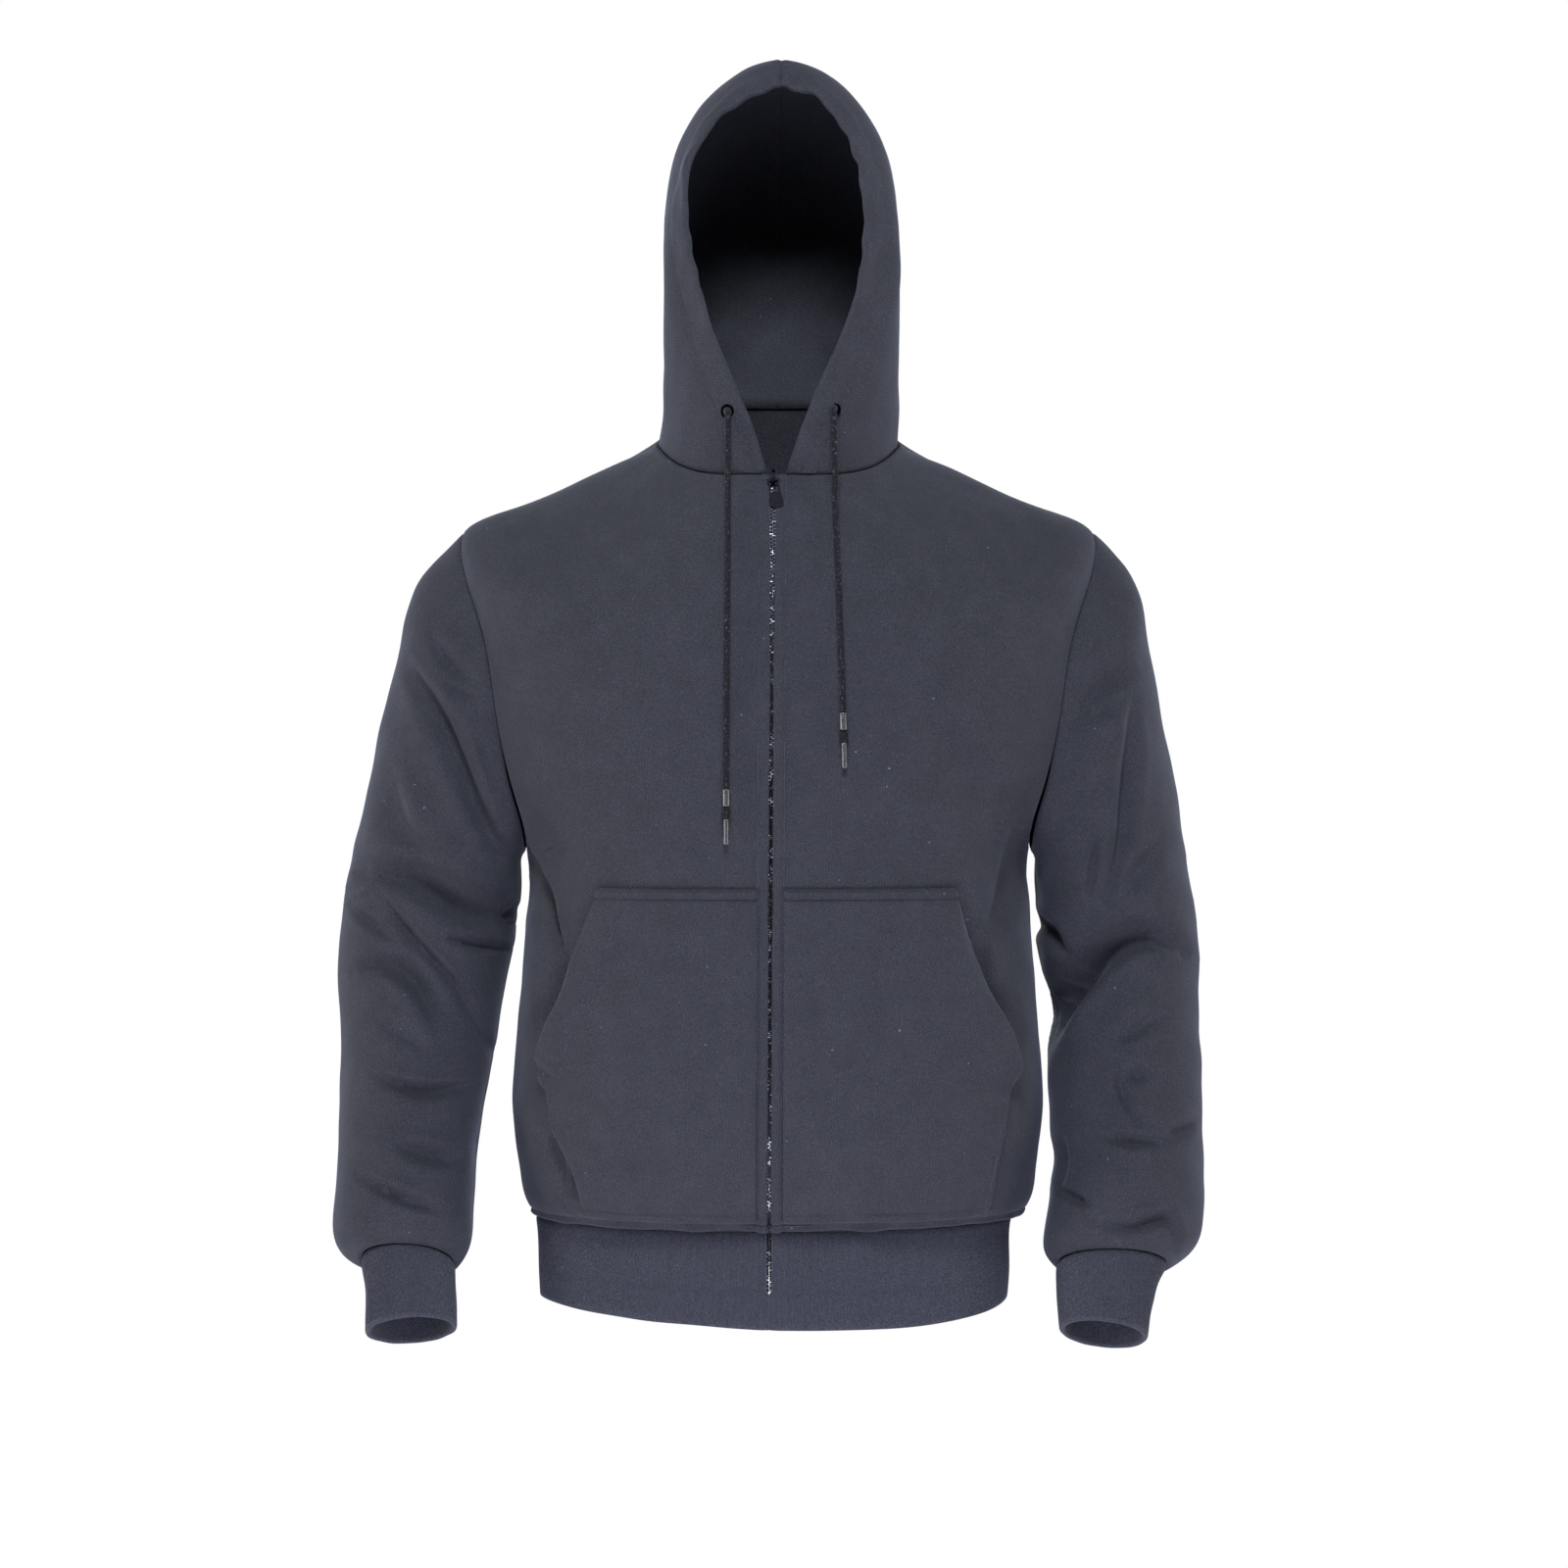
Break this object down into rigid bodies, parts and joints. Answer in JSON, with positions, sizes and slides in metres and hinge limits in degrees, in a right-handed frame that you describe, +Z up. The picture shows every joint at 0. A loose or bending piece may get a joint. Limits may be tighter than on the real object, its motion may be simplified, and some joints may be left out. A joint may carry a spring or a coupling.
{
  "type": "zip-up hoodie",
  "caption": "Hooded fleece jacket with a full front zip, kangaroo pocket halves, ribbed cuffs and hem and hanging drawcords, kept in its hollow worn form.",
  "frame": {"origin": "middle of the neck, level with the top of the shoulders, where the wearer carries the garment", "axes": "+Z up, -Y out of the front where the zip is, +X to the wearer's left"},
  "size_m": [0.6685, 0.2743, 0.9864],
  "materials": {
    "fleece": "brushed knit, matt with a faint nap",
    "ribbing": "1x1 rib knit",
    "braid": "braided cord",
    "tape_cloth": "woven tape",
    "steel": "nickel plated",
    "black_metal": "black, semi-gloss"
  },
  "bodies": {
    "garment": {"front_left": "fleece", "front_right": "fleece", "back": "fleece", "sleeve_left": "fleece", "sleeve_right": "fleece", "hood_left": "fleece", "hood_right": "fleece", "pocket_left": "fleece", "pocket_right": "fleece", "cuff_left": "ribbing", "cuff_right": "ribbing", "hem_rib": "ribbing", "zip_tape_left": "tape_cloth", "zip_tape_right": "tape_cloth", "zip_chain": "steel", "zip_slider": "black_metal", "eyelet_left": "black_metal", "eyelet_right": "black_metal", "drawcord_left": "braid", "drawcord_right": "braid", "cord_left_sleeve": "steel", "cord_left_knot": "braid", "cord_left_aglet": "steel", "cord_right_sleeve": "steel", "cord_right_knot": "braid", "cord_right_aglet": "steel"},
    "pull_tab": {"zip_pull_tab": "black_metal"}
  },
  "joints": [
    {"name": "pull_tab_swing", "type": "hinge", "parent": "garment", "child": "pull_tab", "pos_m": [-0.00346, -0.09945, -0.03475], "axis": [-1, 0, 0], "range_deg": [0, 150]}
  ]
}
